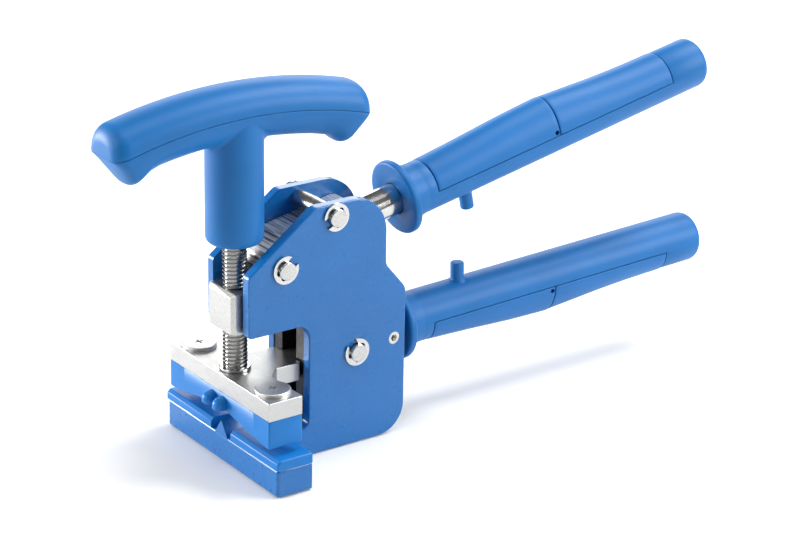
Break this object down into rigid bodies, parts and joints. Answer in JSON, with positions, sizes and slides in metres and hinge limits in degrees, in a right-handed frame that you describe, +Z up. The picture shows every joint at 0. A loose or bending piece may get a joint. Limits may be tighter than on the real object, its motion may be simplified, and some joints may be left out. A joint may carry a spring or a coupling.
{
  "type": "tile breaking pliers",
  "caption": "Lever pliers that snap scored tiles and slabs: a padded press plate on an adjusting screw with a T-handle closes onto a ridged lower jaw.",
  "frame": {"origin": "where the adjusting screw's axis meets the plane of the base, on the underside of the lower jaw bar", "axes": "+X back towards the hand levers, +Y across the tool to its far side, +Z up along the adjusting screw"},
  "size_m": [0.3584, 0.1012, 0.1903],
  "materials": {
    "blue_paint": "glossy powder coat",
    "pad_plastic": "satin moulded plastic",
    "handle_plastic": "satin moulded plastic",
    "palm_plastic": "fine spark texture",
    "black_steel": "black oxide",
    "nickel_steel": "nickel plated, ground",
    "bare_steel": "sawn and ground",
    "bright_steel": "bright zinc",
    "spring_steel": "oiled wire",
    "bronze": "sintered"
  },
  "bodies": {
    "frame": {"lower_jaw_bar": "blue_paint", "lower_pad_near": "pad_plastic", "lower_pad_far": "pad_plastic", "lower_pad_screws": "bare_steel", "side_plate_near": "blue_paint", "side_plate_far": "blue_paint", "guide_cheeks": "black_steel", "guide_spacer": "black_steel", "stop_pin": "bare_steel", "pivot_pin": "bare_steel", "lower_root_pin": "bare_steel", "retaining_clips": "bright_steel", "lower_handle_root": "black_steel", "lower_lock_screws": "bright_steel", "lower_rod": "bright_steel", "lower_grip": "handle_plastic", "lower_palm_front": "palm_plastic", "lower_palm_rear": "palm_plastic", "return_spring": "spring_steel"},
    "lever": {"upper_lever": "bare_steel", "pivot_bush": "bronze", "upper_rod": "bright_steel", "upper_grip": "handle_plastic", "upper_palm_front": "palm_plastic", "upper_palm_rear": "palm_plastic"},
    "carriage": {"press_carriage": "nickel_steel"},
    "jaw": {"jaw_plate": "nickel_steel", "upper_pad": "pad_plastic", "pad_cap_screws": "bright_steel", "pad_nuts": "bare_steel"},
    "screw": {"adjusting_screw": "bright_steel", "screw_collar": "bright_steel", "screw_end_clip": "bright_steel", "handle_hub": "black_steel", "handle_cross_pin": "bare_steel", "t_handle_body": "handle_plastic", "t_handle_cap": "handle_plastic"}
  },
  "joints": [
    {"name": "lever_squeeze", "type": "hinge", "parent": "frame", "child": "lever", "pos_m": [0.0165, 0, 0.1005], "axis": [0, 1, 0], "range_deg": [0, 13], "stiffness_Nm_per_rad": 4, "springref_deg": -17.19},
    {"name": "carriage_press", "type": "slide", "parent": "frame", "child": "carriage", "axis": [0, 0, -1], "range_m": [0, 0.0029], "deforming": ["return_spring"]},
    {"name": "jaw_height", "type": "slide", "parent": "carriage", "child": "jaw", "axis": [0, 0, 1], "range_m": [0, 0.02]},
    {"name": "screw_turn", "type": "hinge", "parent": "jaw", "child": "screw", "pos_m": [0, 0, 0.0474], "axis": [0, 0, 1], "range_deg": [0, 3600]}
  ],
  "couplings": [
    {"joint": "carriage_press", "follows": "lever_squeeze", "m_per_rad": 0.012781},
    {"joint": "jaw_height", "follows": "screw_turn", "m_per_rad": 0.000318}
  ]
}
